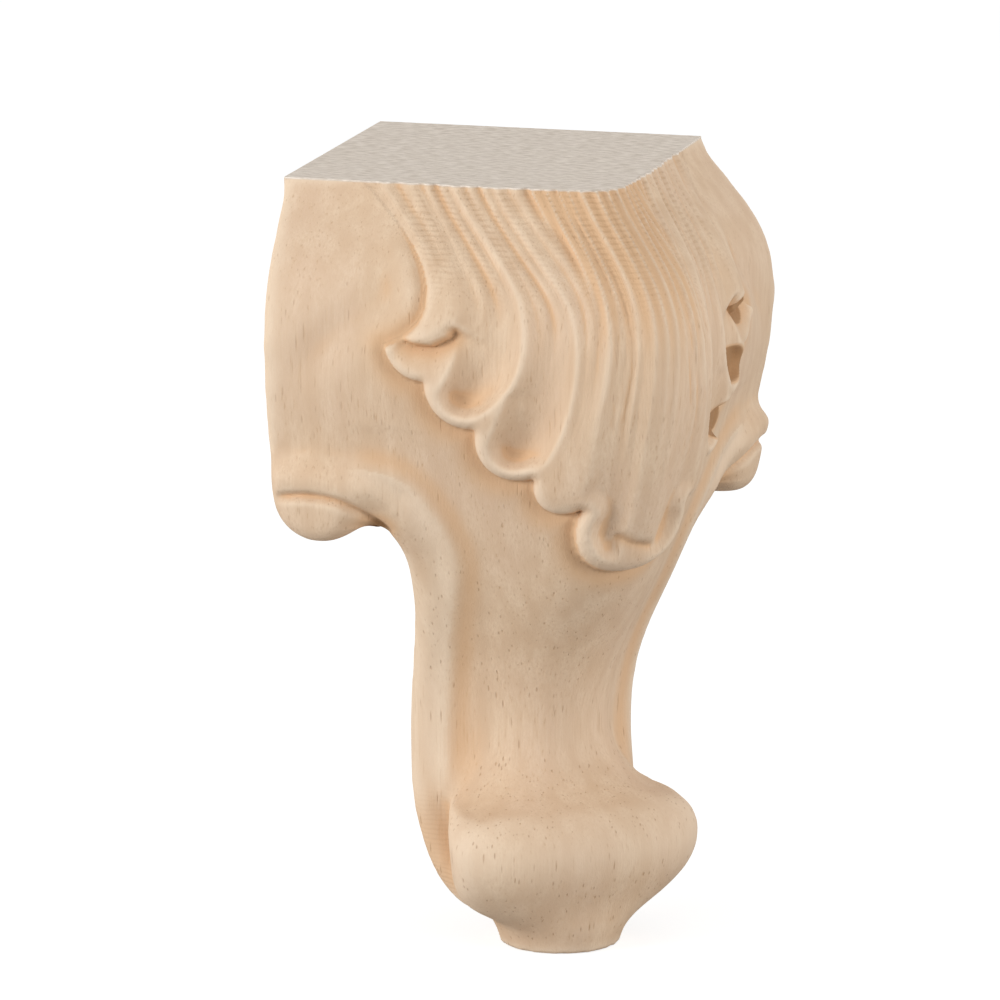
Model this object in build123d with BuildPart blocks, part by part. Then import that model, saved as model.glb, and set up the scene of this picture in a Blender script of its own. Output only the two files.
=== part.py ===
from build123d import *
from math import cos, pi, sin, sqrt
import os

os.makedirs("parts", exist_ok=True)

# Carved furniture leg, one piece of wood. Millimetres.
# The top face is at z = 0, centred on the z axis; the floor is LEG_HEIGHT below it.
# The two show faces look along -Y and +X and meet in the front corner, on the line x = -y.
# A "drop" is measured down from the top and a "height" up from the floor. An "out" is the
# distance from the z axis to a show face, an "in" the distance to the inner face behind it,
# and a "forward" the distance from the z axis along the line through the front corner.

LEG_HEIGHT = 100.0
TOP_SIDE = 43.6

# Outer profile: slope at the top edge, swell of the knee, waist, bend, ankle, heel, sole
TOP_SLOPE = 1.15
KNEE_DROP = 20.0
KNEE_OUT = 32.0
WAIST_DROP = 35.0
WAIST_OUT = 29.6
BEND_DROP = 50.0
BEND_OUT = 24.7
ANKLE_HEIGHT = 30.0
ANKLE_OUT = 16.7
HEEL_HEIGHT = 12.0
HEEL_OUT = 17.0
SOLE_HEIGHT = 4.5
SOLE_OUT = 18.5
SOLE_SLOPE = 0.3

# Inner profile: volute under the wing, hollow of the bend, back of the shaft
VOLUTE_DROP = 39.4
VOLUTE_RADIUS = 6.4
VOLUTE_SWEEP = 145
VOLUTE_ROUNDING = 3.0
VOLUTE_BACK = 0.3
BEND_IN = 4.4
SHAFT_IN = 5.3
ANKLE_IN = 6.6
HEEL_IN = 4.0

# Rounding of the front corner at the top and from the knee down
TOP_CORNER = 8.0
FRONT_CORNER = 11.5

# Roll moulding along the C-scroll: stands proud of the shaft, and more so at the ear
BEAD_WIDTH = 4.8
BEAD_EASE = 1.3
BEAD_PROUD = 0.9
BEAD_DROP = 37.8
EAR_PROUD = 3.0
EAR_INSET = 0.8
EAR_LENGTH = 5.9

# Foot: round pad, and the cushion of the toe that grows out of the front corner above it
FOOT_FORWARD = 16.8
PAD_RADIUS = 9.0
PAD_TOP_RADIUS = 9.6
PAD_HEIGHT = 3.5

# Levels of the cushion from the pad up: forward of its front, half width, height
# Each level is CUSHION_DEPTH deep before its widest line, and CUSHION_BACK of its half width behind it
COVE = (25.8, 13.0, 5.4)
UNDERSIDE = (27.4, 16.6, 9.0)
CREST = (28.6, 17.8, 13.6)
SHOULDER = (26.4, 17.2, 18.2)
NECK = (21.6, 13.6, 20.8)
NECK_END = (18.6, 10.4, 26.5)
CUSHION_DEPTH = 7.5
CUSHION_BACK = 0.6

# Acanthus leaf over the knee: reach from the front corner, relief, flutes, rib and eyes
# The ridges between the flutes bow towards the front corner
LEAF_REACH = 36.0
LEAF_TIP_DROP = 48.3
RELIEF_TOP = 1.0
RELIEF_LOW = 2.6
FLUTE_TOP = 0.8
FLUTE_LOW = 1.7
FLUTES = 5
RIDGE_BOW = 2.6
RIB_WIDTH = 4.4
RIB_RISE = 0.5
EYE_RADIUS = 1.5
EYE_DEPTH = 1.2

# Outline of the left half of the leaf: distance in from KNEE_OUT, drop
LEAF_START = (41.4, 0)
LEAF_SIDE = (35.2, 7.5)
LEAF_HOOK = (33.2, 15.4)
LEAF_HOOK_BOW = (34.8, 17.3)
LEAF_BEAK = (37.8, 18.6)
LEAF_NOTCHES = ((32.0, 23.0), (25.7, 29.0), (18.4, 35.3), (13.3, 40.4))
LEAF_BOWS = ((35.8, 21.6), (30.8, 27.2), (24.4, 34.0), (17.4, 39.6), (12.8, 46.0))
LEAF_TIP_IN = 8.0

# Sections in each loft; straight facets up the cushion, round the volute's end and across a flute
SECTIONS = 9
CUSHION_FACETS = 14
VOLUTE_FACETS = 3
FLUTE_FACETS = 4

half = TOP_SIDE / 2
floor = -LEG_HEIGHT
far = KNEE_OUT + half
foot_x = FOOT_FORWARD / sqrt(2)
sole_x = foot_x - PAD_RADIUS / 2
shaft_z = (floor + ANKLE_HEIGHT - BEND_DROP) / 2
sunk = BEAD_WIDTH / 2 - BEAD_PROUD
front = Plane(origin=(0, 0, 0), x_dir=(1, 0, 0), z_dir=(0, -1, 0))
side = Plane(origin=(0, 0, 0), x_dir=(0, -1, 0), z_dir=(-1, 0, 0))
diagonal = Plane(origin=(0, 0, 0), x_dir=(1, -1, 0), z_dir=(-1, -1, 0))

with BuildLine(front) as outer:
    outer_curve = Spline(
        (half, 0),
        (KNEE_OUT, -KNEE_DROP),
        (WAIST_OUT, -WAIST_DROP),
        (BEND_OUT, -BEND_DROP),
        (ANKLE_OUT, floor + ANKLE_HEIGHT),
        (HEEL_OUT, floor + HEEL_HEIGHT),
        (SOLE_OUT, floor + SOLE_HEIGHT),
        tangents=((TOP_SLOPE, -1), (SOLE_SLOPE, -1)),
    )


def levels(first, last, count=SECTIONS):
    """Evenly spaced values from first to last."""
    return [first + (last - first) * step / count for step in range(count + 1)]


def reach_at(drop):
    """Distance from the z axis to the show faces at a drop."""
    low, high = 0.0, 1.0
    for halving in range(40):
        middle = (low + high) / 2
        if -(outer_curve @ middle).Z < drop:
            low = middle
        else:
            high = middle
    return (outer_curve @ low).X


def corner_at(drop):
    """Radius of the front corner at a drop."""
    return TOP_CORNER + (FRONT_CORNER - TOP_CORNER) * min(1.0, drop / KNEE_DROP)


def around(drop, along, out):
    """Point at a distance along the show faces from the front corner, raised by out."""
    reach, turn = reach_at(drop), corner_at(drop)
    distance = abs(along)
    straight = distance - turn * pi / 4
    if straight < 0:
        angle = pi / 4 + distance / turn
        x = reach - turn + (turn + out) * cos(angle)
        y = turn - reach - (turn + out) * sin(angle)
    else:
        x = reach - turn - straight
        y = -reach - out
    return (x, y) if along >= 0 else (-y, -x)


def on_face(spot):
    """Profile point of a leaf outline spot."""
    return (KNEE_OUT - spot[0], -spot[1])


def scoop(first, middle, last):
    """Shallow parabola through three points, in straight facets."""
    a, b, c = Vector(first), Vector(middle), Vector(last)
    spots = [b + (c - a) * (t / 2) + ((a + c) * 0.5 - b) * t**2 for t in levels(-1, 1, FLUTE_FACETS)]
    return Polyline(*spots)


def ridge(step, drop):
    """Distance of a ridge of the leaf from the front corner."""
    bow = RIDGE_BOW if 0 < step < FLUTES else 0
    return levels(RIB_WIDTH / 2, LEAF_REACH, FLUTES)[step] - bow * sin(pi * drop / LEAF_TIP_DROP)


def eased(first, corner, last):
    """Quarter round in straight facets from first to last, tangent to the lines to their corner."""
    a, b, c = Vector(first), Vector(corner), Vector(last)
    turns = levels(0, pi / 2, VOLUTE_FACETS)
    return Polyline(*[a + (b - a) * sin(turn) + (c - b) * (1 - cos(turn)) for turn in turns])


def back_line(inset, finish):
    """Chain of arcs from the bend down shaft, ankle and heel to the sole, moved in by inset."""
    spot, heading = (inset - BEND_IN, -BEND_DROP), (0, -1)
    ankle, heel = (ANKLE_IN, floor + ANKLE_HEIGHT), (HEEL_IN, floor + HEEL_HEIGHT)
    for behind, level in ((SHAFT_IN, shaft_z), ankle, heel):
        arc = TangentArc(spot, (inset - behind, level), tangent=heading)
        spot, heading = arc @ 1, arc % 1
    return TangentArc(spot, finish, tangent=heading)


# Roll moulding: along the wing, round the bend and down the edge of the shaft
with BuildPart() as bead:
    for drop in levels(BEAD_DROP - 2 * BEAD_WIDTH, LEG_HEIGHT - SOLE_HEIGHT):
        share = min(1.0, max(0.0, (BEND_DROP - drop) / (BEND_DROP - BEAD_DROP)))
        skin = reach_at(drop) + BEAD_PROUD + (EAR_PROUD - BEAD_PROUD) * share
        with BuildSketch(Plane.XY.offset(-drop)):
            with Locations((0, -skin)):
                Rectangle(4 * half, BEAD_WIDTH, align=(Align.CENTER, Align.MIN))
    loft()
    with BuildSketch(front):
        with BuildLine():
            ear_x = EAR_INSET - half
            turn_x = ear_x + EAR_LENGTH
            across, down = sunk - BEND_IN - turn_x, BEND_DROP - BEAD_DROP
            Line((ear_x, -BEAD_DROP), (turn_x, -BEAD_DROP))
            EllipticalCenterArc((turn_x, -BEND_DROP), across, down, start_angle=0, arc_size=90)
            back_line(sunk, (sole_x, floor + SOLE_HEIGHT + BEAD_PROUD))
        trace(line_width=BEAD_WIDTH)
    extrude(amount=far, mode=Mode.INTERSECT)
    shown = bead.faces().filter_by(GeomType.BSPLINE).sort_by(Axis.Y)[0]
    rims = shown.edges().sort_by(SortBy.LENGTH)[2:]
    chamfer(rims, BEAD_EASE)

# Volute: a short roll under the wing with an eased end
with BuildPart() as volute:
    axis_x = VOLUTE_RADIUS - half
    rim_x = axis_x + VOLUTE_RADIUS
    crown = VOLUTE_BACK - reach_at(VOLUTE_DROP) - EAR_PROUD
    with BuildSketch(Plane.XY.offset(-VOLUTE_DROP)):
        with BuildLine():
            eased((rim_x - VOLUTE_ROUNDING, crown), (rim_x, crown), (rim_x, crown + VOLUTE_ROUNDING))
            Polyline(
                (rim_x, crown + VOLUTE_ROUNDING),
                (rim_x, -half),
                (axis_x, -half),
                (axis_x, crown),
                (rim_x - VOLUTE_ROUNDING, crown),
            )
        make_face()
    revolve(axis=Axis((axis_x, 0, -VOLUTE_DROP), (0, 1, 0)))

# Foot: conical pad under a cushion that is round at its ends and flows into the front corner
with BuildLine() as flow:
    pad_front = (FOOT_FORWARD + PAD_TOP_RADIUS, PAD_TOP_RADIUS, PAD_HEIGHT)
    course = Spline(pad_front, COVE, UNDERSIDE, CREST, SHOULDER, NECK, NECK_END)

with BuildPart() as foot:
    with Locations((foot_x, -foot_x, floor)):
        Cone(PAD_RADIUS, PAD_TOP_RADIUS, PAD_HEIGHT, align=(Align.CENTER, Align.CENTER, Align.MIN))
    for share in levels(0, 1, CUSHION_FACETS):
        level = course @ share
        spot = (level.X - CUSHION_DEPTH) / sqrt(2)
        with BuildSketch(Plane(origin=(spot, -spot, floor + level.Z), x_dir=(1, 1, 0))):
            with BuildLine():
                EllipticalCenterArc((0, 0), level.Y, CUSHION_DEPTH, start_angle=180, arc_size=180)
                EllipticalCenterArc((0, 0), level.Y, CUSHION_BACK * level.Y, start_angle=0, arc_size=180)
            make_face()
    loft(ruled=True)

# Acanthus leaf: fluted shell over the knee, cut to the outline of its lobes on both faces
with BuildPart() as leaf:
    for drop in levels(0, LEAF_TIP_DROP + RELIEF_LOW):
        share = min(1.0, drop / WAIST_DROP)
        relief = RELIEF_TOP + (RELIEF_LOW - RELIEF_TOP) * share
        valley = relief - FLUTE_TOP - (FLUTE_LOW - FLUTE_TOP) * share
        ridges = [ridge(step, drop) for step in range(FLUTES + 1)]
        with BuildSketch(Plane.XY.offset(-drop)):
            with BuildLine():
                for hand in (1, -1):
                    for near, away in zip(ridges, ridges[1:]):
                        scoop(
                            around(drop, hand * near, relief),
                            around(drop, hand * (near + away) / 2, valley),
                            around(drop, hand * away, relief),
                        )
                    Polyline(
                        around(drop, hand * LEAF_REACH, relief),
                        around(drop, hand * LEAF_REACH, -RELIEF_LOW),
                        around(drop, 0, -corner_at(drop)),
                    )
                scoop(
                    around(drop, RIB_WIDTH / 2, relief),
                    around(drop, 0, relief + RIB_RISE),
                    around(drop, -RIB_WIDTH / 2, relief),
                )
            make_face()
    loft(ruled=True)
    for plane in (front, side):
        with BuildSketch(plane):
            with BuildLine():
                tip = (KNEE_OUT - LEAF_TIP_IN, -LEAF_TIP_DROP)
                lobe_ends = [on_face(spot) for spot in (LEAF_BEAK, *LEAF_NOTCHES)] + [tip]
                ThreePointArc(on_face(LEAF_START), on_face(LEAF_SIDE), on_face(LEAF_HOOK))
                ThreePointArc(on_face(LEAF_HOOK), on_face(LEAF_HOOK_BOW), on_face(LEAF_BEAK))
                for above, bow, below in zip(lobe_ends, LEAF_BOWS, lobe_ends[1:]):
                    ThreePointArc(above, on_face(bow), below)
                Polyline(tip, (far, tip[1]), (far, floor), (-far, floor), (-far, 0), on_face(LEAF_START))
            make_face()
        extrude(amount=2 * far, both=True, mode=Mode.SUBTRACT)

# Eyes: the pits where two lobes part, cut square to the face
with BuildPart() as eyes:
    for across, drop in LEAF_NOTCHES:
        with BuildSketch(front.offset(reach_at(drop) - EYE_DEPTH)):
            with Locations((KNEE_OUT - across, -drop)):
                Circle(EYE_RADIUS)
        extrude(amount=EYE_DEPTH + 2 * RELIEF_LOW)

# Leg: knee and shaft, rounded at the front corner and sawn to the inner profile from both sides
with BuildPart() as leg:
    for drop in levels(0, LEG_HEIGHT - SOLE_HEIGHT):
        reach, turn = reach_at(drop), corner_at(drop)
        with BuildSketch(Plane.XY.offset(-drop)):
            with BuildLine():
                Line((-far, -reach), (reach - turn, -reach))
                RadiusArc((reach - turn, -reach), (reach, turn - reach), -turn)
                Polyline((reach, turn - reach), (reach, far), (-far, far), (-far, -reach))
            make_face()
    loft()
    for plane in (front, side):
        with BuildSketch(plane):
            with BuildLine():
                ring = CenterArc((VOLUTE_RADIUS - half, -VOLUTE_DROP), VOLUTE_RADIUS, 180, VOLUTE_SWEEP)
                TangentArc((-BEND_IN, -BEND_DROP), ring @ 1, tangent=(0, 1))
                back_line(0, (sole_x, floor + SOLE_HEIGHT))
                Polyline(
                    (sole_x, floor + SOLE_HEIGHT),
                    (far, floor + SOLE_HEIGHT),
                    (far, 0),
                    (-half, 0),
                    (-half, -VOLUTE_DROP),
                )
            make_face()
        extrude(amount=2 * far, both=True, mode=Mode.INTERSECT)
    for piece in (volute.part, bead.part):
        add(piece)
        mirror(piece, about=diagonal)
    for piece in (foot.part, leaf.part):
        add(piece)
    add(eyes.part, mode=Mode.SUBTRACT)
    mirror(eyes.part, about=diagonal, mode=Mode.SUBTRACT)

leg.part.label = "carved_leg"
export_step(leg.part, "parts/carved_leg.step")
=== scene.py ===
import math
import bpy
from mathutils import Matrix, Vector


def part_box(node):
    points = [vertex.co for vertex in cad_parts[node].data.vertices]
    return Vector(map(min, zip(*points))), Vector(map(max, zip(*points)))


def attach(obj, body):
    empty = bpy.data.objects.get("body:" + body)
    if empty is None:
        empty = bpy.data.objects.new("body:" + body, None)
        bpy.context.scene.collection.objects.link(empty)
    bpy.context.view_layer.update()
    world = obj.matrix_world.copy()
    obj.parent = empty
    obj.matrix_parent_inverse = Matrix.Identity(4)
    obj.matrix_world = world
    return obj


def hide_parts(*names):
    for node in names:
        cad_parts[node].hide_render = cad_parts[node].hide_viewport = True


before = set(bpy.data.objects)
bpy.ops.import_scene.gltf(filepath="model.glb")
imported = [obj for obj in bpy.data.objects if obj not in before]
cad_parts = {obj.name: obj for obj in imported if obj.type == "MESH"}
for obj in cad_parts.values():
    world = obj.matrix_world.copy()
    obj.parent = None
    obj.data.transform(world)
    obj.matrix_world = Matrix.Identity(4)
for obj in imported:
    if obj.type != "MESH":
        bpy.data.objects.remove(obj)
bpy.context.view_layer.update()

from types import SimpleNamespace

import bmesh
import bpy
import numpy as np
from mathutils import Matrix, Vector
from mathutils.bvhtree import BVHTree

# Carved furniture leg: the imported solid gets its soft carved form, its leaf and its wood here.
# The carving works in millimetres in the frame of the solid; the scene itself is in metres.

MM = 0.001
NODE = "carved_leg"
floor_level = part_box(NODE)[0][2] / MM

# Mesh: voxel of the whole piece; the leaf gets half of it. Rounds of softening.
VOXEL = 0.64
SOFT_ROUNDS = 10
SEAM_ROUNDS = 3
SHARP_ANGLE = 60

# Front corner of the knee, as on the solid
TOP_CORNER = 8.0
FRONT_CORNER = 11.5
CORNER_DROP = 20.0

# Where a show face is plain: down to a drop, place across the face
PLAIN_PLACES = ((33.0, -15.0), (70.0, 3.0), (88.0, -1.5))
PLAIN_STEP = 0.5

# Wood colours, and the pitch of the tool marks in millimetres. The pale colour is painted highlight on
# edges that stand proud and on the scroll beside its crest, the amber colour painted shade in the hollows,
# and the brown colour painted shade in the deepest hollows as well as the brown of pores and tool marks.
WOOD_LIGHT = (0.79, 0.605, 0.43)
WOOD_DARK = (0.69, 0.495, 0.33)
HIGHLIGHT_PALE = (0.90, 0.74, 0.57)
WOOD_TAN = (0.55, 0.35, 0.20)
SHADE_AMBER = (0.72, 0.455, 0.255)
WOOD_PINK = (0.74, 0.545, 0.41)
PORE_MARK_AND_SHADE_BROWN = (0.38, 0.20, 0.085)
END_LIGHT = (0.95, 0.87, 0.78)
END_DARK = (0.72, 0.64, 0.55)
TOOL_PITCH = 0.62

# Painted shade: how brown each kind of hollow, fold, recess, ground beside the leaf and panel beside the
# crest is painted, from 0 to 1; HEEL_TINT browns the tool-marked heel. Away from the leaf, PLAIN_SHADE_SHARE
# of
# CAVITY_SHADE stays. The hollows are found by blurring the mesh for some rounds.
CAVITY_SHADE = 0.6
PLAIN_SHADE_SHARE = 0.6
FLUTE_SHADE = 0.66
SLIT_SHADE = 0.8
RIB_END_SHADE = 0.5
GROUND_SHADOW = 0.42
RECESS_SHADE = 0.95
CREST_SIDE_SHADE = 0.34
HEEL_TINT = 0.35
TINT_ROUNDS = 24

# Camera: angles in degrees, distance and aim in millimetres, lens in millimetres
CAMERA_AZIMUTH = 15.35
CAMERA_ELEVATION = 12.45
CAMERA_DISTANCE = 1000.0
CAMERA_TARGET = (0.4, -0.4, -50.0)
CAMERA_NUDGE = (0.26, 4.8)
CAMERA_LENS = 277.7
CAMERA_SENSOR = 36

# Light: name, place and size in metres and power of each lamp; world and floor
LAMPS = (("key", (-0.76, -0.64, 0.15), 0.4, 6.4), ("fill", (0.96, -0.32, 0.1), 0.6, 5.4))
WORLD_LIGHT = 0.55
WHITE = (1, 1, 1, 1)
FLOOR_COLOUR = (0.45, 0.45, 0.45, 1)
FLOOR_GLOW = 0.75
FLOOR_REACH = 6.0

# Leaf outline on the left half: arcs through three spots, each distance from the front corner and drop
LEAF_ARCS = (
    ((31.2, 0.0), (28.4, 8.5), (30.2, 15.2)),
    ((30.2, 15.2), (32.2, 17.2), (35.2, 18.9)),
    ((35.2, 18.9), (33.6, 21.9), (30.0, 23.3)),
    ((30.0, 23.3), (27.6, 27.6), (22.6, 29.2)),
    ((22.6, 29.2), (20.9, 33.6), (13.9, 35.4)),
    ((13.9, 35.4), (11.2, 39.6), (7.1, 39.3)),
    ((7.1, 39.3), (6.0, 45.4), (0.0, 48.3)),
)

# Zone of the leaf: distance from the front corner, drop, depth under the knee, and margins round the outline
LEAF_SPAN = 40.0
LEAF_END = 52.0
LEAF_BURIED = 2.6
PLAIN_MARGIN = 3.0
CARVED_MARGIN = 2.0
TINT_MARGIN = 6.0

# Ridges between the lobes, from the centre rib outwards: drop, distance from the front corner
RIDGES = (
    ((0, 3.0), (8, 2.4), (36, 2.1), (44, 1.7), (50, 1.6)),
    ((0, 9.2), (4, 7.5), (8, 6.3), (12, 5.9), (20, 6.4), (27, 7.0), (34, 6.8), (39, 7.4), (42, 9.0)),
    ((0, 14.1), (7, 12.4), (13, 10.2), (17, 9.6), (22, 9.7), (27, 10.3), (32, 11.7), (36, 14.5)),
    ((0, 19.6), (7, 17.7), (12, 16.5), (19, 16.6), (23.6, 18.0), (26, 20.4), (29, 24.5)),
    ((0, 25.4), (5, 24.2), (10, 24.1), (15.5, 24.9), (17.5, 27.0), (19, 36.0)),
    ((0, 31.6), (5, 29.2), (9, 28.6), (13, 29.8), (18, 36.5)),
)

# Depth of the hollow between two ridges: drop, depth
HOLLOWS = (
    ((0, 0.5), (10, 0.7), (30, 0.6), (37, 1.0), (42, 2.3), (48, 2.3)),
    ((0, 0.6), (12, 0.9), (24, 0.7), (31, 0.1), (39, -0.5)),
    ((0, 0.6), (12, 0.9), (20, 1.3), (27, 2.2), (31, 2.7), (36, 2.5)),
    ((0, 0.6), (8, 1.0), (14, 1.5), (19, 2.3), (24, 2.8), (29, 2.6)),
    ((0, 0.4), (6, 0.2), (12, -0.4), (18, -0.5)),
)
HOLLOW_WIDTH = 9.0

# Strands in each lobe: count across it, height at the top edge, drop where they end
STRANDS = ((4, 0.2, 40.0), (2, 0.28, 28.0), (3, 0.32, 21.0), (3, 0.32, 18.0), (2, 0.22, 12.0))

# Fine flutes over the front corner: pitch, depth by drop, and half the width they cover by drop
FLUTE_PITCH = 1.55
FLUTE_DEPTH = ((0, 0.6), (9, 0.55), (16, 0.3), (34, 0.18), (42, 0.0))
FLUTE_SPREAD = ((0, 10.5), (9, 8.0), (20, 6.4), (42, 5.5))

# Relief of the leaf over the knee by drop, rounding of its edge, start and end of its bowls inside the edge,
# rise of its centre rib, dip of the ground beside it, and the faint hollow of the wing
RELIEF = ((0, 0.5), (5, 0.7), (10, 1.4), (18, 2.3), (26, 2.8), (36, 2.9), (48, 2.9))
EDGE_ROUND = 1.9
BOWL_START = 1.2
BOWL_END = 3.6
RIB_RISE = 0.4
GROUND_DIP = 0.4
WING_DIP = 0.9
WING_WIDTH = 3.6
WING_SLOPE = 0.75

# Folds, steep above and sloping away below: spots on the line, depth
SLIT_LINE = ((25.2, 15.4), (26.4, 17.5), (28.8, 18.8), (31.4, 18.6), (34.2, 17.6))
SLIT_DEPTH = 2.6
RIB_END_LINE = ((3.0, 42.2), (0.6, 43.7), (-2.6, 44.8))
RIB_END_DEPTH = 1.1

# Eyes in the lobes of the right-hand face, sunk and painted brown with shade: distance from the front
# corner, drop, half width, half height, floor. The relief and the hollows are lower on that face.
EYES = ((-29.4, 18.3, 2.8, 1.7, -0.2), (-25.0, 24.6, 3.8, 2.1, 0.0), (-20.6, 31.2, 3.6, 2.2, 0.0))
RIGHT_RELIEF = 0.65
RIGHT_HOLLOW = 0.7

# Scroll on each show face: place across the face, level. The crest parts it from the panel and then
# runs down the shaft, at a distance from the inner edge. The crease parts it from the volute, and
# the recess, painted brown with shade, lies under its turn.
CREST_LINE = ((-12.0, -35.2), (-6.2, -35.7), (-3.4, -37.2), (-1.5, -39.5), (1.0, -43.8), (1.9, -48.6))
CREST_INSET = 5.6
CREST_RISE = 0.6
SHAFT_DROPS = (56, 59, 62, 65, 68, 71, 74, 77, 80, 83)
BAND_FALL = 1.3
PANEL_DIP = 0.3
CREASE_LINE = (
    (-20.8, -39.7), (-18.6, -39.2), (-16.1, -39.0), (-12.6, -39.4),
    (-10.6, -40.4), (-8.6, -42.0), (-6.9, -43.8),
)
CREASE_DEPTH = 1.1
RECESS = (-8.0, -43.2)
EAR_ROUNDS = 14

# Toe: crease round each end (distance from the front corner's plane, height over the floor), rounds of
# softening where the shaft runs into it, and the taper of the pad below a height
KNOB_LINE = ((18.6, 16.4), (17.4, 18.0), (15.8, 19.2), (13.2, 19.9), (9.0, 20.2))
KNOB_CREASE = 0.7
NECK_DIP = 0.6
NECK_ROUNDS = 90
PAD_CENTRE = 16.8
PAD_TAPER = 0.13
PAD_HEIGHT = 6.5


def lane(spots, reach=58.0, blur=1.5):
    """Smooth curve through spots of (drop, value), as a function of the drop."""
    drops = np.linspace(-reach, 2 * reach, int(30 * reach))
    step = drops[1] - drops[0]
    values = np.interp(drops, *np.array(spots, float).T)
    bell = np.exp(-0.5 * (np.arange(-3 * blur, 3 * blur + step, step) / blur) ** 2)
    soft = np.convolve(np.pad(values, len(bell) // 2, mode="edge"), bell / bell.sum(), mode="same")
    soft = soft[len(bell) // 2:len(bell) // 2 + len(drops)]
    return lambda drop: np.interp(drop, drops, soft)


def ease(value, start=0.0, end=1.0):
    """Smooth step from 0 at start to 1 at end."""
    share = np.clip((value - start) / (end - start), 0.0, 1.0)
    return share * share * (3 - 2 * share)


def bump_share(distance, width):
    """Share of a soft bump's height: 1 on its line, falling away over its width."""
    return np.exp(-((distance / width) ** 2))


def arc_points(first, middle, last, count=14):
    """Points on the circle through three spots, first to last."""
    a, b, c = (complex(*spot) for spot in (first, middle, last))
    w = (c - a) / (b - a)
    centre = (b - a) * (w - abs(w) ** 2) / (2j * w.imag) + a
    turn = np.angle((c - centre) / (a - centre))
    mid_turn = np.angle((b - centre) / (a - centre))
    if mid_turn * turn < 0 or abs(mid_turn) > abs(turn):
        turn -= math.copysign(2 * math.pi, turn)
    swept = centre + (a - centre) * np.exp(1j * turn * np.linspace(0, 1, count))
    return np.stack([swept.real, swept.imag], -1)


# Knee surface, measured on the solid
def solid_tree():
    """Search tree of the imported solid."""
    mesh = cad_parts[NODE].data
    return BVHTree.FromPolygons([v.co for v in mesh.vertices], [p.vertices for p in mesh.polygons])


def measure_reach():
    """Distance from the axis to the plain part of the show face, as a function of the drop."""
    tree = solid_tree()
    drops = np.arange(0.02, PLAIN_PLACES[-1][0], PLAIN_STEP)
    reaches = []
    for drop in drops:
        across = next(place for end, place in PLAIN_PLACES if drop < end)
        spot = tree.ray_cast(Vector((across, -80.0, -drop)) * MM, Vector((0, 1, 0)))[0]
        reaches.append(-spot.y / MM)
    return lambda drop: np.interp(drop, drops, reaches)


reach_at = measure_reach()


def corner_at(drop):
    """Radius of the front corner at a drop."""
    return TOP_CORNER + (FRONT_CORNER - TOP_CORNER) * np.clip(drop / CORNER_DROP, 0, 1)


def to_knee(points):
    """Signed distance along the knee from the front corner, drop, and height over the knee."""
    hand = np.where(points[:, 0] <= -points[:, 1], 1.0, -1.0)
    x = np.where(hand > 0, points[:, 0], -points[:, 1])
    y = np.where(hand > 0, points[:, 1], -points[:, 0])
    drop = -points[:, 2]
    corner = corner_at(drop)
    centre = reach_at(drop) - corner
    round_part = x > centre
    angle = np.arctan2(-(y + centre), x - centre)
    along = np.where(round_part, (angle - math.pi / 4) * corner, centre - x + corner * math.pi / 4)
    out = np.where(round_part, np.hypot(x - centre, y + centre) - corner, -y - centre - corner)
    return hand * along, drop, out


def from_knee(along, drop, out):
    """Point for a distance along the knee, a drop and a height over the knee."""
    corner = corner_at(drop)
    centre = reach_at(drop) - corner
    straight = np.abs(along) - corner * math.pi / 4
    angle = math.pi / 4 + np.abs(along) / corner
    x = np.where(straight < 0, centre + (corner + out) * np.cos(angle), centre - straight)
    y = np.where(straight < 0, -centre - (corner + out) * np.sin(angle), -centre - corner - out)
    left = along >= 0
    return np.stack([np.where(left, x, -y), np.where(left, y, -x), -drop], -1)


# Leaf
outline = np.concatenate([arc_points(*spots) for spots in LEAF_ARCS])
ridge_lanes = [lane(spots) for spots in RIDGES]
hollow_lanes = [lane(spots) for spots in HOLLOWS]
relief_lane, flute_lane, spread_lane = lane(RELIEF), lane(FLUTE_DEPTH), lane(FLUTE_SPREAD)


def inside_leaf(along, drop):
    """Distance to the leaf's outline, positive inside."""
    spot = np.stack([np.abs(along), drop], -1)
    nearest = np.full(len(spot), np.inf)
    for a, b in zip(outline[:-1], outline[1:]):
        run = b - a
        length = max(run @ run, 1e-9)
        share = np.clip((spot - a) @ run / length, 0, 1)
        gap = spot - a - share[:, None] * run
        nearest = np.minimum(nearest, np.hypot(gap[:, 0], gap[:, 1]))
    ring = np.concatenate([outline, [(-9.0, outline[-1][1]), (-9.0, -9.0), (outline[0][0], -9.0)]])
    within = np.zeros(len(spot), bool)
    for a, b in zip(ring, np.roll(ring, -1, 0)):
        crosses = (a[1] > spot[:, 1]) != (b[1] > spot[:, 1])
        rise = b[1] - a[1] if b[1] != a[1] else 1e-9
        at = a[0] + (spot[:, 1] - a[1]) * (b[0] - a[0]) / rise
        within ^= crosses & (spot[:, 0] < at)
    return np.where(within, nearest, -nearest)


def line_gap(spot, line):
    """Distance of spots to a line, whether they lie on its left hand, and the share of the line passed."""
    line = np.array(line, float)
    gap = np.full(len(spot), np.inf)
    left = np.zeros(len(spot), bool)
    passed = np.zeros(len(spot))
    for step, (a, b) in enumerate(zip(line[:-1], line[1:])):
        run = b - a
        place = np.clip((spot - a) @ run / (run @ run), 0, 1)
        away = spot - a - place[:, None] * run
        distance = np.hypot(away[:, 0], away[:, 1])
        nearer = distance < gap
        gap = np.where(nearer, distance, gap)
        left = np.where(nearer, run[0] * away[:, 1] > run[1] * away[:, 0], left)
        passed = np.where(nearer, (step + place) / (len(line) - 1), passed)
    return gap, left, passed


def rounded(line, rounds=3):
    """The line with its corners cut, some rounds over."""
    line = np.array(line, float)
    for turn in range(rounds):
        near = 0.75 * line[:-1] + 0.25 * line[1:]
        far = 0.25 * line[:-1] + 0.75 * line[1:]
        line = np.concatenate([line[:1], np.stack([near, far], 1).reshape(-1, 2), line[-1:]])
    return line


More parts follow.
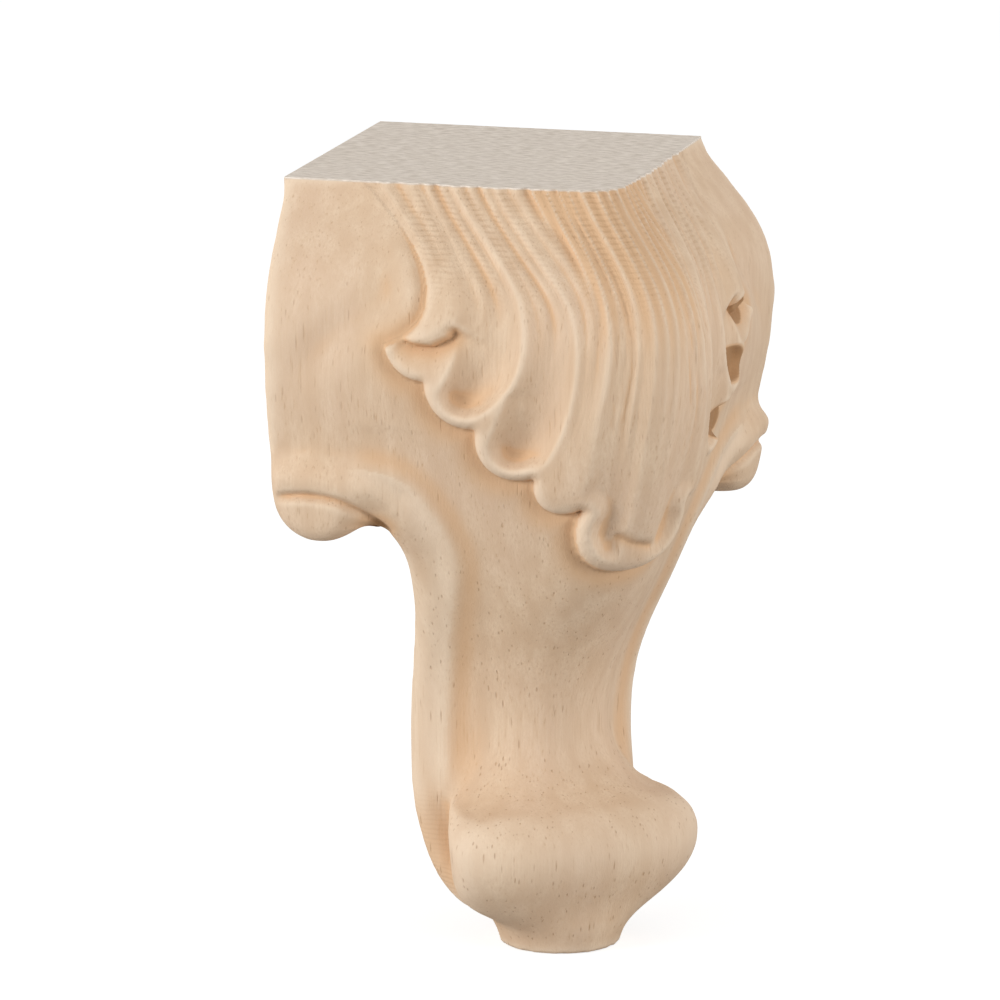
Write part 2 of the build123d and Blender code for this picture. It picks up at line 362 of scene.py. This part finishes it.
def fold(along, drop, line, steep=0.5, slope=2.2):
    """Share of a fold's depth: 1 on its line, gone soon above it and slowly below it."""
    gap, left, passed = line_gap(np.stack([along, drop], -1), line)
    below = left if line[-1][0] > line[0][0] else ~left
    return np.exp(-gap / np.where(below, slope, steep)) * ease(passed, 0, 0.2) * ease(passed, 1.02, 0.85)


def pit_share(along, drop, pit, rim=1.25, floor=0.6):
    """Share of a pit's depth: 1 on its floor, 0 outside its rim."""
    centre, level, half_width, half_height = pit[:4]
    return ease(np.hypot((along - centre) / half_width, (drop - level) / half_height), rim, floor)


def flute_share(along, drop):
    """Share of a flute's depth: 1 in the middle of each flute, 0 between them and beside them."""
    phase = (along + 0.35 * np.sin(drop / 6.5) + 0.2 * np.sin(along * 1.1)) / FLUTE_PITCH
    gouge = 1 - (2 * (phase % 1) - 1) ** 2
    return gouge * ease(np.abs(along), spread_lane(drop) + 1.5, spread_lane(drop) - 1.0)


def lobes(away, drop, ridges):
    """Depth of the hollows between the ridges, and height of the strands in them."""
    hollow, strands = np.zeros_like(away), np.zeros_like(away)
    for inner, outer, depth, (count, rise, end) in zip(ridges, ridges[1:], hollow_lanes, STRANDS):
        width = np.clip(outer - inner, 0.5, HOLLOW_WIDTH)
        share = np.clip((away - inner) / width, 0, 1)
        hollow += depth(drop) * 4 * share * (1 - share)
        wander = share + 0.06 * np.sin(drop / 2.7 + 5 * count)
        wave = np.sin(math.pi * share) * np.cos(2 * math.pi * count * wander)
        strands += rise * wave * ease(drop, end, 0.5 * end)
    return hollow, strands


def leaf_height(along, drop, depth_in):
    """Height of the carved leaf over the knee."""
    away = np.abs(along)
    ridges = [curve(drop) for curve in ridge_lanes]
    hollow, strands = lobes(away, drop, ridges)
    right = ease(-along, 4, 11)
    faded = 0.8 * ease(drop, 9, 1) * ease(away, 19, 28)
    height = relief_lane(drop) * (1 - (1 - RIGHT_RELIEF) * right) * (1 - faded) + strands
    height -= hollow * ease(depth_in, BOWL_START, BOWL_END) * (1 - (1 - RIGHT_HOLLOW) * right)
    height -= flute_lane(drop) * flute_share(along, drop)
    height += RIB_RISE * np.clip(1 - (away / ridges[0]) ** 2, 0, 1) * ease(drop, 45, 43)
    height -= RIB_END_DEPTH * fold(along, drop, RIB_END_LINE, slope=1.2)
    height -= SLIT_DEPTH * fold(away, drop, SLIT_LINE)
    shoulder = np.clip(depth_in / EDGE_ROUND, 0, 1)
    dip = GROUND_DIP * bump_share(depth_in, 1.2) * ease(drop, 3, 8)
    height = np.where(depth_in > 0, height * np.sqrt(1 - (1 - shoulder) ** 2), -dip)
    for eye in EYES:
        height += (np.minimum(eye[4], height) - height) * pit_share(along, drop, eye)
    return height


def strand_at(along, drop):
    """Number of strands from the front corner, which follows the sweep of the lobes."""
    away = np.abs(along)
    ridges = [curve(drop) for curve in ridge_lanes]
    total = np.minimum(away, ridges[0]) / FLUTE_PITCH
    for inner, outer, (count, rise, end) in zip(ridges, ridges[1:], STRANDS):
        total += count * np.clip((away - inner) / np.clip(outer - inner, 0.5, None), 0, 1)
    return total * np.sign(along)


# Mesh helpers
def points_of(mesh):
    """Vertices in millimetres."""
    flat = np.empty(3 * len(mesh.vertices), np.float32)
    mesh.vertices.foreach_get("co", flat)
    return flat.reshape(-1, 3).astype(float) / MM


def put_points(mesh, points):
    """Moves the vertices, given in millimetres."""
    mesh.vertices.foreach_set("co", (points * MM).astype(np.float32).ravel())
    mesh.update()


def normals_of(mesh):
    """Vertex normals."""
    flat = np.empty(3 * len(mesh.vertices), np.float32)
    mesh.vertex_normals.foreach_get("vector", flat)
    return flat.reshape(-1, 3).astype(float)


def edges_of(mesh):
    """Pairs of vertex numbers."""
    pairs = np.empty(2 * len(mesh.edges), np.int32)
    mesh.edges.foreach_get("vertices", pairs)
    return pairs.reshape(-1, 2)


def remeshed(mesh, voxel):
    """New mesh with even faces of one voxel's size."""
    carrier = bpy.data.objects.new("remesh_carrier", mesh)
    bpy.context.scene.collection.objects.link(carrier)
    change = carrier.modifiers.new("even", "REMESH")
    change.mode = "VOXEL"
    change.voxel_size = voxel * MM
    result = bpy.data.meshes.new_from_object(carrier.evaluated_get(bpy.context.evaluated_depsgraph_get()))
    bpy.data.objects.remove(carrier)
    return result


def softened(points, edges, weight, rounds):
    """Points moved towards the mean of their neighbours, by weight, for some rounds."""
    a, b = edges.T
    count = np.bincount(edges.ravel(), minlength=len(points))[:, None]
    for turn in range(rounds):
        total = np.stack([
            np.bincount(a, points[b, k], len(points)) + np.bincount(b, points[a, k], len(points))
            for k in range(3)
        ], -1)
        points = points + weight[:, None] * (total / np.maximum(count, 1) - points)
    return points


def near_leaf(points, margin):
    """Which points lie on the knee within a margin of the leaf, with their place on it."""
    along, drop, out = to_knee(points)
    top_face = (drop < 0.15) & (out < -0.3)
    close = (out > -LEAF_BURIED) & (np.abs(along) < LEAF_SPAN) & (drop < LEAF_END) & ~top_face
    depth_in = np.full(len(points), -99.0)
    depth_in[close] = inside_leaf(along[close], drop[close])
    return close & (depth_in > -margin), along, drop, depth_in


def plain_knee(points):
    """The points with the leaf of the solid taken back to the plain knee."""
    zone, along, drop, depth_in = near_leaf(points, PLAIN_MARGIN)
    points = points.copy()
    points[zone] = from_knee(along[zone], drop[zone], np.zeros(zone.sum()))
    return points


def flat_weight(points):
    """How much each point may be softened: none on the top and the sole, all elsewhere."""
    return 0.5 * ease(-points[:, 2], 0.4, 2.5) * ease(points[:, 2] - floor_level, 0.3, 1.2)


def on_faces(points):
    """Place across the nearer show face, level, and distance out from the axis."""
    left = points[:, 0] <= -points[:, 1]
    across = np.where(left, points[:, 0], -points[:, 1])
    outward = np.where(left, -points[:, 1], points[:, 0])
    return across, points[:, 2], outward


def on_ear(points):
    """Which points lie on the scrolled ear of a show face."""
    across, level, outward = on_faces(points)
    return (across < -3) & (level < -34) & (level > -47) & (outward > 23)


def split_leaf(mesh):
    """Halves the faces of the leaf and of the ears."""
    points = points_of(mesh)
    zone = near_leaf(points, CARVED_MARGIN)[0] | on_ear(points)
    work = bmesh.new()
    work.from_mesh(mesh)
    work.verts.ensure_lookup_table()
    inner = [e for e in work.edges if zone[e.verts[0].index] and zone[e.verts[1].index]]
    bmesh.ops.subdivide_edges(work, edges=inner, cuts=1, use_grid_fill=True)
    work.to_mesh(mesh)
    work.free()


def carve_leaf(points):
    """The points with the leaf carved over the plain knee."""
    zone, along, drop, depth_in = near_leaf(points, CARVED_MARGIN)
    along, drop = along[zone], drop[zone]
    points = points.copy()
    points[zone] = from_knee(along, drop, leaf_height(along, drop, depth_in[zone]))
    return points


def sink_wings(points):
    """A faint hollow runs from the side of the leaf down to the edge of each wing."""
    along, drop, out = to_knee(points)
    away = np.abs(along)
    wing = (away > 29) & (drop < 30) & (np.abs(out) < 0.7)
    off_line = drop - 9 - WING_SLOPE * (away - 30)
    edge = np.minimum(points[:, 0], -points[:, 1])
    sunk = WING_DIP * bump_share(off_line, WING_WIDTH) * ease(away, 30.5, 35) * ease(edge, -20.5, -13)
    points = points.copy()
    points[wing] = from_knee(along[wing], drop[wing], (out - sunk)[wing])
    return points


def crest_line(points):
    """Line on a show face where the scroll meets the panel."""
    spots = list(CREST_LINE)
    for drop in SHAFT_DROPS:
        inner_edge = points[np.abs(points[:, 2] + drop) < 0.8, 0].min()
        spots.append((inner_edge + CREST_INSET, -drop))
    return rounded(spots)


def scroll_place(points):
    """Distance to the crest of the scroll, whether on the panel's side, and weights of face and fade."""
    across, level, outward = on_faces(points)
    gap, left, passed = line_gap(np.stack([across, level], -1), crest_line(points))
    face = ease(outward - reach_at(-level), -5.0, -1.0) * (level < -30)
    return gap, left, face, ease(level, -84, -74) * ease(across, -13, -7)


def shape_scroll(points):
    """Gives the scroll its crest beside the panel and the crease over its volute."""
    gap, panel, face, fade = scroll_place(points)
    dip = PANEL_DIP * bump_share(gap - 4.0, 2.6)
    fall = BAND_FALL * ease(gap, 1.5, 5.5) * (gap < 8)
    rise = (CREST_RISE * bump_share(gap, 1.4) - np.where(panel, dip, fall)) * fade
    across, level, outward = on_faces(points)
    gap, left, passed = line_gap(np.stack([across, level], -1), rounded(CREASE_LINE, 2))
    rise -= CREASE_DEPTH * bump_share(gap, 0.55) * ease(passed, 0.0, 0.2)
    rise *= face
    points = points.copy()
    left_face = points[:, 0] <= -points[:, 1]
    points[:, 1] -= np.where(left_face, rise, 0)
    points[:, 0] += np.where(left_face, 0, rise)
    return points


def on_toe(points):
    """Distance from the front corner's plane, distance forward in it, and height over the floor."""
    off_plane = np.abs(points[:, 0] + points[:, 1]) / math.sqrt(2)
    forward = (points[:, 0] - points[:, 1]) / math.sqrt(2)
    return off_plane, forward, points[:, 2] - floor_level


def soft_places(points):
    """Weights of the softening of the ears, and of the neck where the shaft runs into the toe."""
    across, level, outward = on_faces(points)
    ear = ease(across, -4, -8) * ease(level, -33, -35) * ease(level, -48, -46) * (outward > 20)
    off_plane, forward, height = on_toe(points)
    neck = ease(height, 18.5, 21.5) * ease(height, 48, 38) * ease(off_plane, 15.5, 12.5) * (forward > 4)
    return 0.5 * ear, 0.5 * neck


def shape_toe(points, normals):
    """A crease runs round each end of the toe and makes a knob of it; the pad narrows to the floor."""
    off_plane, forward, height = on_toe(points)
    gap, left, passed = line_gap(np.stack([off_plane, height], -1), KNOB_LINE)
    crease = KNOB_CREASE * bump_share(gap, 1.1) * ease(passed, 1.0, 0.6)
    neck = ease(off_plane, 6, 14) * ease(height, 18.8, 20.8) * ease(height, 32, 21)
    sunk = crease * ease(forward, 13.0, 15.5) * (height < 24)
    sunk += NECK_DIP * neck * ease(forward, 11, 14)
    points = points - sunk[:, None] * normals
    centre = PAD_CENTRE / math.sqrt(2) * np.array((1, -1))
    shrink = PAD_TAPER * ease(height, PAD_HEIGHT, 0.0)
    points[:, :2] -= shrink[:, None] * (points[:, :2] - centre)
    return points


# Marks that the wood's colour follows: painted shade, painted highlight, tool marks and strands
def leaf_marks(points):
    """Zone of the leaf, and in it the painted shade of its eyes, flutes, folds, slit and the ground beside
    it, how marked by the tool, and the strand.
    """
    zone, along, drop, depth_in = near_leaf(points, TINT_MARGIN)
    eyes = np.max([pit_share(along, drop, eye, 1.32, 1.0) for eye in EYES], 0)
    flutes = flute_share(along, drop) * ease(drop, 26, 3) * (depth_in > 0)
    ground = bump_share(np.minimum(depth_in + 0.6, 0), 2.4) * (depth_in < 0.2) * ease(drop, 10, 19)
    brown = np.max([
        eyes,
        FLUTE_SHADE * flutes,
        RIB_END_SHADE * fold(along, drop, RIB_END_LINE, slope=0.8),
        SLIT_SHADE * fold(np.abs(along), drop, SLIT_LINE, slope=1.3),
        GROUND_SHADOW * ground,
    ], 0)
    tool = np.maximum(eyes, np.where(depth_in > 0.2, ease(drop, 17, 3), 0))
    strand = np.where(depth_in > -0.2, strand_at(along, drop), 0)
    return zone, np.where(zone, brown, 0), np.where(zone, tool, 0), np.where(zone, strand, 0)


def scroll_marks(points):
    """Painted shade round the scroll (its recess and the panel beside the crest) and the heel's brown,
    painted highlight on the scroll beside its crest, and how marked at the heel.
    """
    across, level, outward = on_faces(points)
    recess = bump_share(across - RECESS[0], 2.2) * bump_share(level - RECESS[1], 1.7) * (outward > 20)
    gap, panel, face, fade = scroll_place(points)
    band_highlight = ease(gap, 5.5, 1.0) * fade * face * ~panel
    panel_shade = bump_share(gap - 1.9, 1.5) * fade * face * panel
    heel = ease(-level, 76, 87) * ease(-level, 96, 91) * ease(across, 2.5, -1.5)
    brown = np.max([RECESS_SHADE * recess, CREST_SIDE_SHADE * panel_shade, HEEL_TINT * heel], 0)
    return brown, band_highlight, heel


def mark_wood(mesh):
    """Stores the painted shade in the hollows with the heel's brown, the painted highlight on edges that
    stand proud, where the tool has marked it, and the strands.
    """
    points = points_of(mesh)
    blurred = softened(points, edges_of(mesh), np.full(len(points), 0.5), TINT_ROUNDS)
    sunk = np.einsum("ij,ij->i", blurred - points, normals_of(mesh))
    zone, leaf_shade, leaf_tool, strand = leaf_marks(points)
    scroll_shade_and_heel, band_highlight, heel = scroll_marks(points)
    # Painted shade in every hollow that the blur finds, and painted highlight on every edge that stands
    # proud
    cavity_shade_share = CAVITY_SHADE * ease(sunk, 0.02, 0.3) * np.where(zone, 1.0, PLAIN_SHADE_SHARE)
    marks = {
        "hollow": np.max([cavity_shade_share, leaf_shade, scroll_shade_and_heel], 0),
        "painted_highlight": np.maximum(ease(-sunk, 0.03, 0.3), band_highlight),
        "tool": np.maximum(leaf_tool, heel),
        "strand": strand,
    }
    for name, values in marks.items():
        mesh.attributes.new(name, "FLOAT", "POINT").data.foreach_set("value", values.astype(np.float32))


def soften_leg(mesh):
    """Softens the edges of the plain leg, and more so its ears and its neck."""
    points, edges = points_of(mesh), edges_of(mesh)
    points = softened(points, edges, flat_weight(points), SOFT_ROUNDS)
    ear, neck = soft_places(points)
    points = softened(points, edges, ear, EAR_ROUNDS)
    points = softened(points, edges, neck, NECK_ROUNDS)
    put_points(mesh, plain_knee(points))


def carve_leg():
    """The leg as one mesh: solid, softened, with the leaf carved into it."""
    mesh = remeshed(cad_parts[NODE].data, VOXEL)
    put_points(mesh, plain_knee(points_of(mesh)))
    mesh = remeshed(mesh, VOXEL)
    soften_leg(mesh)
    put_points(mesh, shape_toe(points_of(mesh), normals_of(mesh)))
    split_leaf(mesh)
    points = shape_scroll(sink_wings(carve_leaf(points_of(mesh))))
    put_points(mesh, softened(points, edges_of(mesh), 0.5 * flat_weight(points), SEAM_ROUNDS))
    mark_wood(mesh)
    mesh.polygons.foreach_set("use_smooth", np.ones(len(mesh.polygons), bool))
    mesh.set_sharp_from_angle(angle=math.radians(SHARP_ANGLE))
    leg = bpy.data.objects.new("carved_leg_wood", mesh)
    bpy.context.scene.collection.objects.link(leg)
    return leg


# Shader helpers
def node(tree, kind, settings=None, **sockets):
    """Adds a shader node, sets its settings and links or sets its inputs, by name or as _number."""
    made = tree.nodes.new(kind)
    for name, value in (settings or {}).items():
        setattr(made, name, value)
    for name, value in sockets.items():
        socket = made.inputs[int(name[1:])] if name[0] == "_" else made.inputs[name.replace("_", " ")]
        if isinstance(value, bpy.types.NodeSocket):
            tree.links.new(value, socket)
        else:
            socket.default_value = value
    return made


def stretched(tree, place, scale):
    """Coordinates scaled per axis."""
    return node(tree, "ShaderNodeVectorMath", {"operation": "MULTIPLY"}, _0=place, _1=scale).outputs[0]


def noise(tree, place, scale, detail=3.0):
    """Noise over coordinates scaled per axis."""
    made = node(tree, "ShaderNodeTexNoise", Vector=stretched(tree, place, scale), Scale=1.0, Detail=detail)
    return made.outputs["Fac"]


def ramp(tree, value, low_in, high_in, low_out=0.0, high_out=1.0):
    """Smooth step of a value between two levels."""
    made = node(
        tree, "ShaderNodeMapRange", {"interpolation_type": "SMOOTHSTEP"},
        Value=value, From_Min=low_in, From_Max=high_in, To_Min=low_out, To_Max=high_out,
    )
    return made.outputs["Result"]


def math_node(tree, operation, a, b=0.0):
    """Result of one sum."""
    return node(tree, "ShaderNodeMath", {"operation": operation}, _0=a, _1=b).outputs[0]


def product(tree, first, *others):
    """Product of values."""
    for value in others:
        first = math_node(tree, "MULTIPLY", first, value)
    return first


def added(tree, first, *others):
    """Sum of values."""
    for value in others:
        first = math_node(tree, "ADD", first, value)
    return first


def tinted(tree, share, base, colour):
    """Base colour mixed towards a colour."""
    made = node(tree, "ShaderNodeMix", {"data_type": "RGBA"}, Factor=share)
    for slot, value in ((6, base), (7, colour)):
        if isinstance(value, bpy.types.NodeSocket):
            tree.links.new(value, made.inputs[slot])
        else:
            made.inputs[slot].default_value = (*value, 1)
    return made.outputs[2]


def attribute(tree, name):
    """Value stored on the mesh."""
    return node(tree, "ShaderNodeAttribute", {"attribute_name": name}).outputs["Fac"]


# Wood: place and level are in millimetres
def pores(tree, place, level):
    """Short upright pores, in some of the cells, and fewer of them up on the knee."""
    cell_place = stretched(tree, place, (2.1, 2.1, 0.17))
    cells = node(tree, "ShaderNodeTexVoronoi", Vector=cell_place, Scale=1.0, Randomness=1.0)
    chance = node(tree, "ShaderNodeSeparateColor", Color=cells.outputs["Color"]).outputs[0]
    slender = ramp(tree, cells.outputs["Distance"], 0.3, 0.1)
    return product(tree, slender, ramp(tree, chance, 0.6, 0.75), ramp(tree, level, -64, -34, 1.0, 0.5))


def grain(tree, place, level):
    """Upright grain of the wood, and the sawn end grain of its top."""
    return SimpleNamespace(
        streak=noise(tree, place, (0.42, 0.42, 0.035), 4),
        blotch=noise(tree, place, (0.07, 0.07, 0.04), 2),
        fibre=noise(tree, place, (3.4, 3.4, 0.16), 3),
        fuzz=noise(tree, place, (5.5, 5.5, 2.2), 2),
        pore=pores(tree, place, level),
        sawn=noise(tree, place, (0.6, 2.4, 1.0), 5),
        top=ramp(tree, level, -0.3, -0.08),
    )


def carving(tree, place, level):
    """Painted shade of the hollows and painted highlight of the edges that stand proud, hairs and threads
    along the leaf's strands, and marks of the tool.
    """
    strand = attribute(tree, "strand")
    sweep = node(tree, "ShaderNodeCombineXYZ", X=strand, Y=product(tree, level, 0.05)).outputs[0]
    hair = noise(tree, sweep, (1.1, 1.0, 1.0), 2)
    wander = product(tree, noise(tree, place, (0.5, 0.5, 0.3), 1), 6.0)
    turns = added(tree, product(tree, level, 2 * math.pi / TOOL_PITCH), wander)
    stroke = ramp(tree, math_node(tree, "SINE", turns), -0.2, 0.9)
    return SimpleNamespace(
        hollow=attribute(tree, "hollow"),
        painted_highlight=attribute(tree, "painted_highlight"),
        in_leaf=ramp(tree, math_node(tree, "ABSOLUTE", strand), 0.02, 0.3),
        hair=hair,
        thread=noise(tree, sweep, (4.5, 2.0, 1.0), 2),
        mark=product(tree, stroke, attribute(tree, "tool"), ramp(tree, hair, 0.42, 0.6)),
    )


def wood_colour(tree, wood, cut, level):
    """Colour of the wood: tints laid one over the other, among them painted highlight and painted shade."""
    browned = product(tree, ramp(tree, cut.hair, 0.5, 0.72, 0.0, 0.35), cut.in_leaf)
    end_grain = tinted(tree, ramp(tree, wood.sawn, 0.38, 0.6), END_DARK, END_LIGHT)
    tints = (
        (ramp(tree, wood.streak, 0.32, 0.68), WOOD_LIGHT),
        (ramp(tree, wood.blotch, 0.35, 0.7, 0.0, 0.4), WOOD_PINK),
        (ramp(tree, wood.fibre, 0.62, 0.36, 0.0, 0.55), WOOD_DARK),
        (ramp(tree, wood.fuzz, 0.6, 0.35, 0.0, 0.3), WOOD_DARK),
        (ramp(tree, level, -66, -90, 0.0, 0.08), WOOD_TAN),
        (product(tree, browned, ramp(tree, level, -30, -4, 0.35, 1.0)), WOOD_TAN),
        (ramp(tree, wood.fibre, 0.37, 0.28, 0.0, 0.5), WOOD_TAN),
        # Painted highlight on the edges that stand proud, then painted shade in the hollows, amber and then
        # brown
        (product(tree, cut.painted_highlight, 0.45), HIGHLIGHT_PALE),
        (ramp(tree, cut.hollow, 0.0, 0.45, 0.0, 0.75), SHADE_AMBER),
        (ramp(tree, cut.hollow, 0.5, 1.0, 0.0, 0.9), PORE_MARK_AND_SHADE_BROWN),
        (product(tree, cut.mark, 0.2), PORE_MARK_AND_SHADE_BROWN),
        (product(tree, wood.pore, 0.45), PORE_MARK_AND_SHADE_BROWN),
        (product(tree, wood.top, 0.85), end_grain),
    )
    colour = WOOD_DARK
    for share, tint in tints:
        colour = tinted(tree, share, colour, tint)
    return colour


def wood_bump(tree, wood, cut):
    """Fine relief of the wood: fibres, pores, sawn top, tool marks and threads."""
    relief = added(
        tree,
        product(tree, wood.fibre, 0.5),
        product(tree, wood.pore, -1.0),
        product(tree, wood.fuzz, 0.5),
        product(tree, wood.sawn, wood.top, 3.0),
        product(tree, cut.mark, -0.5),
        product(tree, cut.thread, cut.in_leaf),
    )
    return node(tree, "ShaderNodeBump", Strength=0.55, Distance=0.00012, Height=relief).outputs["Normal"]


def wood_material():
    """Pale unfinished wood, its grain upright: streaks, fibres, brown pores, painted shade in the hollows
    and painted highlight on the edges.
    """
    material = bpy.data.materials.new("pale_wood")
    material.use_nodes = True
    tree = material.node_tree
    place = tree.nodes.new("ShaderNodeTexCoord").outputs["Object"]
    place = stretched(tree, place, (1 / MM, 1 / MM, 1 / MM))
    level = node(tree, "ShaderNodeSeparateXYZ", Vector=place).outputs["Z"]
    wood = grain(tree, place, level)
    cut = carving(tree, place, level)
    shader = tree.nodes["Principled BSDF"]
    tree.links.new(wood_colour(tree, wood, cut, level), shader.inputs["Base Color"])
    tree.links.new(ramp(tree, wood.fibre, 0.3, 0.7, 0.62, 0.78), shader.inputs["Roughness"])
    shader.inputs["Specular IOR Level"].default_value = 0.3
    tree.links.new(wood_bump(tree, wood, cut), shader.inputs["Normal"])
    return material


# Scene
def camera_axes():
    """Directions back, right and up of the camera."""
    azimuth, elevation = math.radians(CAMERA_AZIMUTH), math.radians(CAMERA_ELEVATION)
    back = Vector((
        math.sin(azimuth) * math.cos(elevation),
        -math.cos(azimuth) * math.cos(elevation),
        math.sin(elevation),
    ))
    right = Vector((math.cos(azimuth), math.sin(azimuth), 0))
    return back, right, back.cross(right)


def add_camera():
    """Camera at the photograph's angle."""
    back, right, up = camera_axes()
    aim = Vector(CAMERA_TARGET) + right * CAMERA_NUDGE[0] + up * CAMERA_NUDGE[1]
    data = bpy.data.cameras.new("camera")
    data.lens = CAMERA_LENS
    data.sensor_width = CAMERA_SENSOR
    camera = bpy.data.objects.new("camera", data)
    place = Matrix((right, up, back)).transposed().to_4x4()
    place.translation = (aim + back * CAMERA_DISTANCE) * MM
    camera.matrix_world = place
    bpy.context.scene.collection.objects.link(camera)
    bpy.context.scene.camera = camera


def add_lamp(name, place, size, power):
    """Square soft lamp at a place in metres, turned to the middle of the leg."""
    data = bpy.data.lights.new(name, "AREA")
    data.size = size
    data.energy = power
    lamp = bpy.data.objects.new(name, data)
    aim = Vector((0, 0, floor_level / 2 * MM))
    lamp.location = place
    lamp.rotation_euler = (Vector(place) - aim).to_track_quat("Z", "Y").to_euler()
    bpy.context.scene.collection.objects.link(lamp)


def add_world():
    """White to the camera and in reflections, softer as a light."""
    world = bpy.data.worlds.new("studio")
    bpy.context.scene.world = world
    world.use_nodes = True
    tree = world.node_tree
    path = tree.nodes.new("ShaderNodeLightPath").outputs
    shown = math_node(tree, "MAXIMUM", path["Is Camera Ray"], path["Is Glossy Ray"])
    strength = node(tree, "ShaderNodeMapRange", Value=shown, To_Min=WORLD_LIGHT, To_Max=1.0)
    sky = tree.nodes["Background"]
    sky.inputs["Color"].default_value = WHITE
    tree.links.new(strength.outputs["Result"], sky.inputs["Strength"])


def floor_material():
    """Pale matte surface that reads as white to the camera and keeps the shadow."""
    material = bpy.data.materials.new("pale_floor")
    material.use_nodes = True
    tree = material.node_tree
    tree.nodes.remove(tree.nodes["Principled BSDF"])
    path = tree.nodes.new("ShaderNodeLightPath").outputs
    matte = node(tree, "ShaderNodeBsdfDiffuse", Color=FLOOR_COLOUR)
    shown = product(tree, path["Is Camera Ray"], FLOOR_GLOW)
    glow = node(tree, "ShaderNodeEmission", Color=WHITE, Strength=shown)
    both = node(tree, "ShaderNodeAddShader", _0=matte.outputs[0], _1=glow.outputs[0])
    tree.links.new(both.outputs[0], tree.nodes["Material Output"].inputs["Surface"])
    return material


def add_floor():
    """Plain floor under the pad."""
    mesh = bpy.data.meshes.new("floor")
    corners = [(x * FLOOR_REACH, y * FLOOR_REACH, 0) for x, y in ((-1, -1), (1, -1), (1, 1), (-1, 1))]
    mesh.from_pydata(corners, [], [(0, 1, 2, 3)])
    mesh.materials.append(floor_material())
    floor = bpy.data.objects.new("floor", mesh)
    floor.location.z = floor_level * MM
    bpy.context.scene.collection.objects.link(floor)


leg = carve_leg()
leg.data.materials.clear()
leg.data.materials.append(wood_material())
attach(leg, "root")
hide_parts(NODE)

add_camera()
add_world()
add_floor()
for lamp in LAMPS:
    add_lamp(*lamp)
bpy.context.scene.view_settings.view_transform = "Standard"
